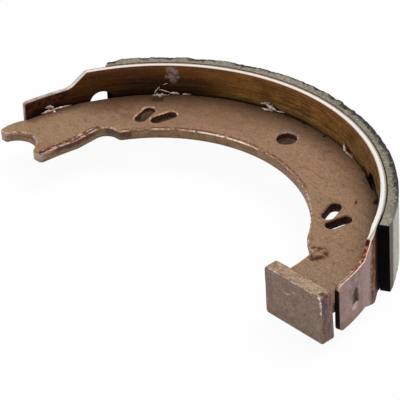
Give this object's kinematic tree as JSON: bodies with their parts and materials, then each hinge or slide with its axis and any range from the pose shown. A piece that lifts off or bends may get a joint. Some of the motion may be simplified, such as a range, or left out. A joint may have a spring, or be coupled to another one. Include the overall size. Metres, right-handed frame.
{
  "type": "brake shoe",
  "caption": "Arc-shaped steel drum brake shoe with a bonded friction lining, an end block for the adjuster and a notch for the anchor.",
  "frame": {"origin": "on the drum axis, in the middle of the rim's width", "axes": "+Z along the drum axis, +Y to the crown of the shoe, +X towards the end block"},
  "size_m": [0.1531, 0.0797, 0.0254],
  "materials": {
    "painted_steel": "worn satin brown primer, rust spots",
    "rim_steel": "brown primer inside, bare ground edges, rusty at the block end",
    "friction_lining": "speckled grey moulded friction material, dark ragged edge",
    "bond": "dark cured adhesive",
    "weld_metal": "rough weld metal, part painted"
  },
  "bodies": {
    "root": {"web": "painted_steel", "rim": "rim_steel", "end_block": "painted_steel", "lining": "friction_lining", "adhesive_film": "bond", "block_weld": "weld_metal", "rim_weld_1": "weld_metal", "rim_weld_2": "weld_metal", "rim_weld_3": "weld_metal", "rim_weld_4": "weld_metal", "rim_weld_5": "weld_metal", "rim_weld_6": "weld_metal"}
  },
  "joints": []
}
